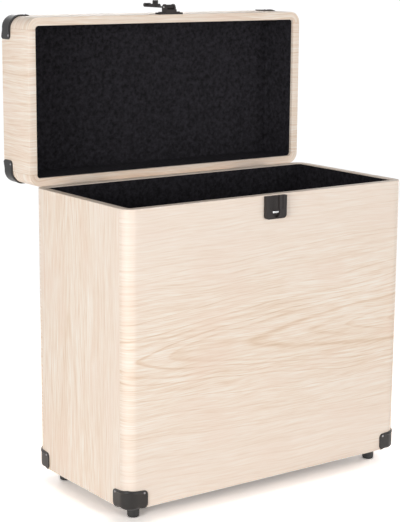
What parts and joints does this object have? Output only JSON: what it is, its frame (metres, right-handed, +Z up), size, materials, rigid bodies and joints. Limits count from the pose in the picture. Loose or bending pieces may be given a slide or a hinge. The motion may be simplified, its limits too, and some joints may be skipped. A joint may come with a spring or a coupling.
{
  "type": "record carrying case",
  "caption": "Wood-covered carrying case for twelve-inch records, with a hinged lid, a hook latch, corner guards, a folding handle and rubber feet.",
  "frame": {"origin": "middle of the open case's footprint at the level of the feet", "axes": "+X right along the front, +Y from the front to the back, +Z up"},
  "size_m": [0.3762, 0.2674, 0.5244],
  "materials": {
    "board": "raw sawn board",
    "wood_vinyl": "wood-print vinyl, satin",
    "base_vinyl": "plain black vinyl",
    "felt": "short black nap",
    "black_metal": "gloss black enamel on pressed steel",
    "bright_steel": "bright plated",
    "foot_rubber": "moulded, satin",
    "grip_plastic": "moulded, satin"
  },
  "bodies": {
    "box": {"body_front_panel": "board", "body_back_panel": "board", "body_left_panel": "board", "body_right_panel": "board", "body_base_board": "board", "body_front_wrap": "wood_vinyl", "body_back_wrap": "wood_vinyl", "body_left_wrap": "wood_vinyl", "body_right_wrap": "wood_vinyl", "body_base_sheet": "base_vinyl", "body_lining": "felt", "foot_front_left": "foot_rubber", "foot_front_right": "foot_rubber", "foot_back_left": "foot_rubber", "foot_back_right": "foot_rubber", "foot_screws": "bright_steel", "body_guard_front_left": "black_metal", "body_guard_front_right": "black_metal", "body_guard_back_left": "black_metal", "body_guard_back_right": "black_metal", "body_guard_nails": "bright_steel", "latch_keeper": "black_metal", "latch_catch": "bright_steel", "hinge_left_body_leaf": "black_metal", "hinge_right_body_leaf": "black_metal", "hinge_left_pin": "bright_steel", "hinge_right_pin": "bright_steel", "hinge_screws_body": "black_metal"},
    "lid": {"lid_front_panel": "board", "lid_back_panel": "board", "lid_left_panel": "board", "lid_right_panel": "board", "lid_top_board": "board", "lid_front_wrap": "wood_vinyl", "lid_back_wrap": "wood_vinyl", "lid_left_wrap": "wood_vinyl", "lid_right_wrap": "wood_vinyl", "lid_top_wrap": "wood_vinyl", "lid_lining": "felt", "lid_guard_front_left": "black_metal", "lid_guard_front_right": "black_metal", "lid_guard_back_left": "black_metal", "lid_guard_back_right": "black_metal", "lid_guard_nails": "bright_steel", "hinge_left_lid_leaf": "black_metal", "hinge_right_lid_leaf": "black_metal", "hinge_screws_lid": "black_metal", "latch_base": "black_metal", "latch_pin": "bright_steel", "latch_rivets": "black_metal", "handle_bracket_left": "black_metal", "handle_bracket_right": "black_metal", "handle_screws": "black_metal"},
    "hasp": {"latch_hasp": "black_metal"},
    "handle": {"handle_rod": "black_metal", "handle_grip": "grip_plastic"}
  },
  "joints": [
    {"name": "lid_hinge", "type": "hinge", "parent": "box", "child": "lid", "pos_m": [0, 0.0557, 0.3245], "axis": [1, 0, 0], "range_deg": [0, 90]},
    {"name": "hasp_pivot", "type": "hinge", "parent": "lid", "child": "hasp", "pos_m": [0, 0.0672, 0.5174], "axis": [1, 0, 0], "range_deg": [0, 180]},
    {"name": "handle_pivot", "type": "hinge", "parent": "lid", "child": "handle", "pos_m": [0, 0.1264, 0.4184], "axis": [1, 0, 0], "range_deg": [0, 180]}
  ]
}
